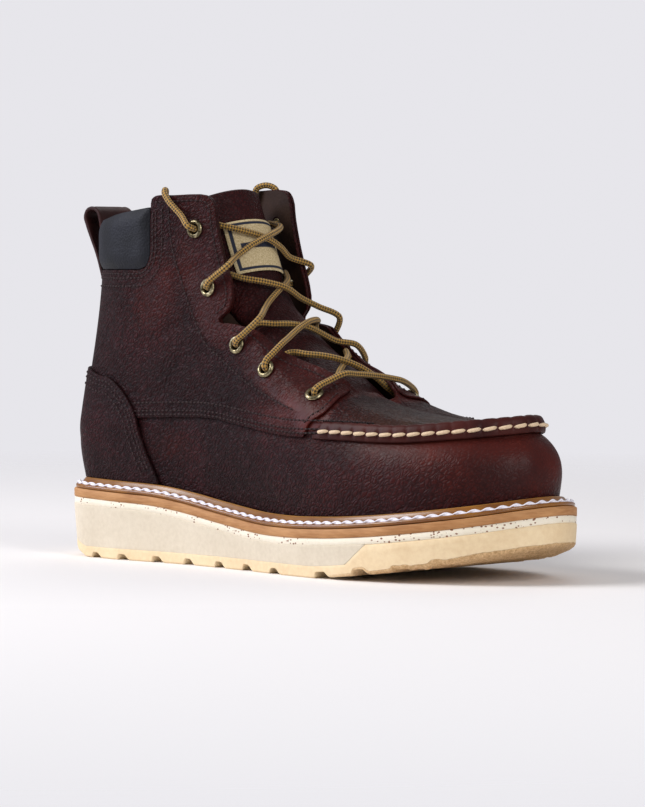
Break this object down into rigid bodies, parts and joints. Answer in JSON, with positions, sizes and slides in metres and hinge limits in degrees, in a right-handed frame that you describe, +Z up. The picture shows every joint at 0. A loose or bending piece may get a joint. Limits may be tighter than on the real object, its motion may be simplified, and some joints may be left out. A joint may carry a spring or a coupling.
{
  "type": "safety_boot",
  "caption": "Lace-up work boot for the right foot, pebbled dark red leather, moccasin toe, sewn welt and pale wedge sole",
  "frame": {"origin": "on the floor under the middle of the heel, 40 mm ahead of the sole's back edge, on the boot's centre line", "axes": "+X to the toe, +Y to the wearer's left (the inner side of this right boot), +Z up"},
  "size_m": [0.3172, 0.1087, 0.1985],
  "materials": {
    "tread_rubber": "moulded pale yellow crepe-like rubber",
    "wedge_rubber": "matt cream foam rubber",
    "speckled_rubber": "cream rubber with brown specks",
    "midsole_rubber": "tan rubber, trimmed edge",
    "welt_leather": "glossy golden brown storm welt",
    "insole_fabric": "brushed brown lining cloth",
    "upper_leather": "pebbled oxblood leather, satin gloss",
    "collar_leather": "soft charcoal leather, fine grain",
    "patch_cloth": "woven beige patch with a dark border",
    "eyelet_brass": "antique plated brass",
    "lace_braid": "round braid, gold with dark brown"
  },
  "bodies": {
    "root": {"outsole": "tread_rubber", "wedge": "wedge_rubber", "speckled_layer": "speckled_rubber", "midsole": "midsole_rubber", "welt": "welt_leather", "insole": "insole_fabric", "upper": "upper_leather", "quarter_lateral": "upper_leather", "quarter_medial": "upper_leather", "heel_counter": "upper_leather", "collar_pad": "collar_leather", "moccasin_seam": "upper_leather", "tongue": "upper_leather", "tongue_patch": "patch_cloth", "pull_loop": "upper_leather", "eyelet_outer_1": "eyelet_brass", "eyelet_outer_2": "eyelet_brass", "eyelet_outer_3": "eyelet_brass", "eyelet_outer_4": "eyelet_brass", "eyelet_outer_5": "eyelet_brass", "eyelet_inner_1": "eyelet_brass", "eyelet_inner_2": "eyelet_brass", "eyelet_inner_3": "eyelet_brass", "eyelet_inner_4": "eyelet_brass", "eyelet_inner_5": "eyelet_brass", "lace_cross_1": "lace_braid", "lace_cross_2": "lace_braid", "lace_cross_3": "lace_braid", "lace_cross_4": "lace_braid", "lace_bar": "lace_braid", "lace_end_lateral": "lace_braid", "lace_end_medial": "lace_braid"}
  },
  "joints": []
}
